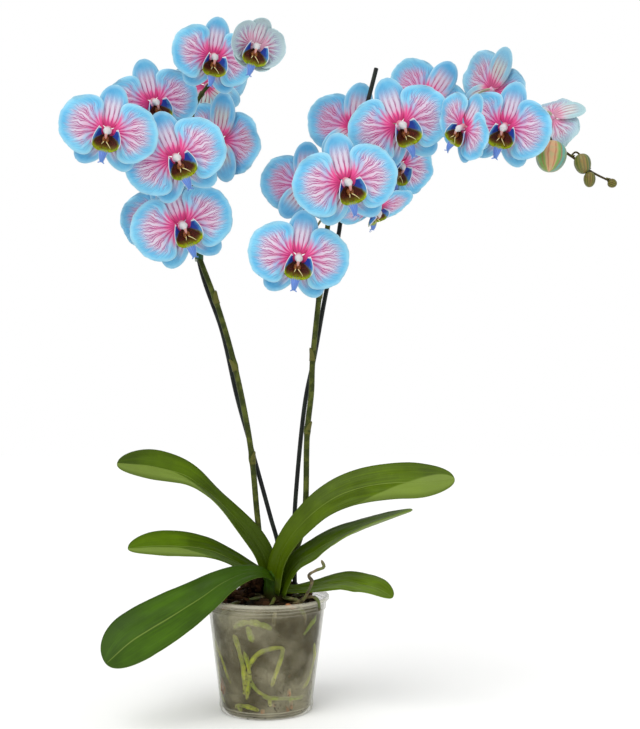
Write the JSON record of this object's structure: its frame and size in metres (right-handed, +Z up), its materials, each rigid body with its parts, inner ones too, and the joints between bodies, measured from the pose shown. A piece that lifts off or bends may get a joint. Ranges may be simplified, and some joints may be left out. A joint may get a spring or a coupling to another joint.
{
  "type": "potted orchid",
  "caption": "Potted moth orchid: clear nursery pot of bark, a fan of strap leaves and staked arching flower spikes with blue and pink blooms and closed buds at the tip.",
  "frame": {"origin": "centre of the pot's flat base, on the surface that it stands on", "axes": "+Z up along the pot's axis, -Y towards the front that most blooms face, +X to the right seen from the front"},
  "size_m": [0.5231, 0.1833, 0.6565],
  "materials": {
    "pot": "thin clear grey plastic, slightly milky",
    "bark": "damp dark brown bark chips",
    "root": "yellow-green living roots, tan where dry",
    "leaf": "leathery green with a soft gloss and a sunken midrib",
    "stem": "olive green, brownish at the nodes and on the bud stalks",
    "stake": "near-black green coated stake",
    "clip": "dark green moulded plastic",
    "tepal": "velvety petals, sky blue at the margin, pale lilac inside with branching magenta veins",
    "lip": "waxy lip, blue lobes on a yellow-green base with a dark red crest, white column"
  },
  "bodies": {
    "root": {"pot": "pot", "substrate": "bark", "roots": "root", "crown": "leaf", "leaf_upper_left": "leaf", "leaf_middle_left": "leaf", "leaf_lower_left": "leaf", "leaf_upper_right": "leaf", "leaf_middle_right": "leaf", "leaf_lower_right": "leaf", "spike_left": "stem", "spike_right": "stem", "stake_left": "stake", "stake_right": "stake", "clip_left": "clip", "clip_right": "clip", "bloom_l1_tepals": "tepal", "bloom_l1_lip": "lip", "bloom_l2_tepals": "tepal", "bloom_l2_lip": "lip", "bloom_l3_tepals": "tepal", "bloom_l3_lip": "lip", "bloom_l4_tepals": "tepal", "bloom_l4_lip": "lip", "bloom_l5_tepals": "tepal", "bloom_l5_lip": "lip", "bloom_l6_tepals": "tepal", "bloom_l6_lip": "lip", "bloom_l7_tepals": "tepal", "bloom_l7_lip": "lip", "bloom_l8_tepals": "tepal", "bloom_l8_lip": "lip", "bloom_l9_tepals": "tepal", "bloom_l9_lip": "lip", "bloom_r1_tepals": "tepal", "bloom_r1_lip": "lip", "bloom_r2_tepals": "tepal", "bloom_r2_lip": "lip", "bloom_r3_tepals": "tepal", "bloom_r3_lip": "lip", "bloom_r4_tepals": "tepal", "bloom_r4_lip": "lip", "bloom_r5_tepals": "tepal", "bloom_r5_lip": "lip", "bloom_r6_tepals": "tepal", "bloom_r6_lip": "lip", "bloom_r7_tepals": "tepal", "bloom_r7_lip": "lip", "bloom_r8_tepals": "tepal", "bloom_r8_lip": "lip", "bloom_r9_tepals": "tepal", "bloom_r9_lip": "lip", "bloom_r10_tepals": "tepal", "bloom_r10_lip": "lip", "bloom_r11_tepals": "tepal", "bloom_r11_lip": "lip", "bloom_r12_tepals": "tepal", "bloom_r12_lip": "lip"}
  },
  "joints": []
}
